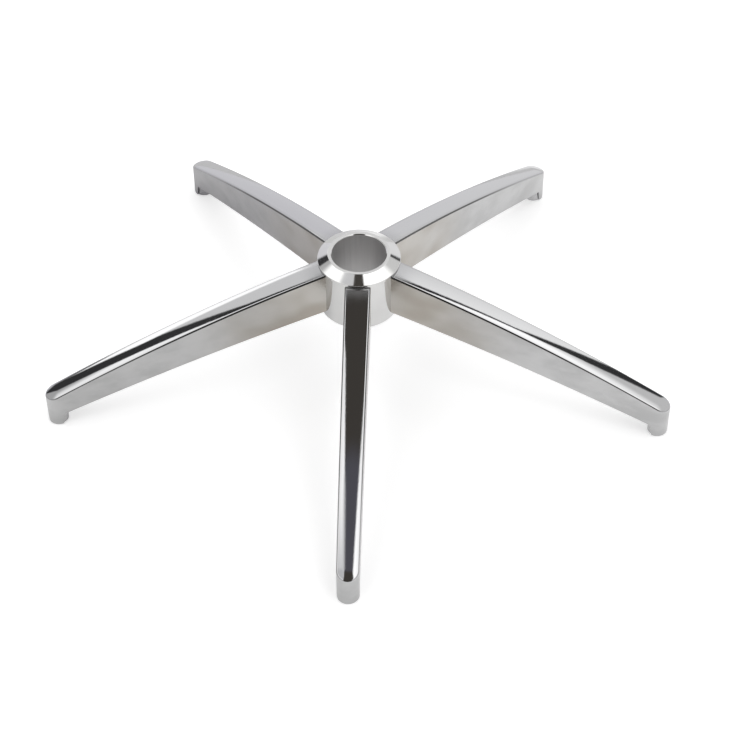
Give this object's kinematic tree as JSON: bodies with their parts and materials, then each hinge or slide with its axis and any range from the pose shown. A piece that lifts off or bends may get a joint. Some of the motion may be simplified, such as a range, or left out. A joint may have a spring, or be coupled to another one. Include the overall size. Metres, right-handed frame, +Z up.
{
  "type": "office chair star base",
  "caption": "Chrome-plated welded steel star base for a swivel chair: a turned hub with a tapered bore for the gas lift and sloping channel legs with caster sockets.",
  "frame": {"origin": "middle of the hub's mouth, on the axis of the gas lift taper", "axes": "+Z up along the hub's axis and out of its mouth; leg_1 runs along -Y; the caster sockets end on the plane 130.5 mm below the origin"},
  "size_m": [0.5716, 0.5446, 0.1305],
  "materials": {
    "hub_chrome": "bright chrome plate over turned steel, greyer and turned-looking in the bore",
    "leg_chrome": "bright chrome plate over pressed sheet steel, slightly cloudy on the side walls",
    "socket_steel": "cut tube, thinly plated, satin"
  },
  "bodies": {
    "root": {"hub": "hub_chrome", "leg_1": "leg_chrome", "leg_2": "leg_chrome", "leg_3": "leg_chrome", "leg_4": "leg_chrome", "leg_5": "leg_chrome", "caster_socket_1": "socket_steel", "caster_socket_2": "socket_steel", "caster_socket_3": "socket_steel", "caster_socket_4": "socket_steel", "caster_socket_5": "socket_steel"}
  },
  "joints": []
}
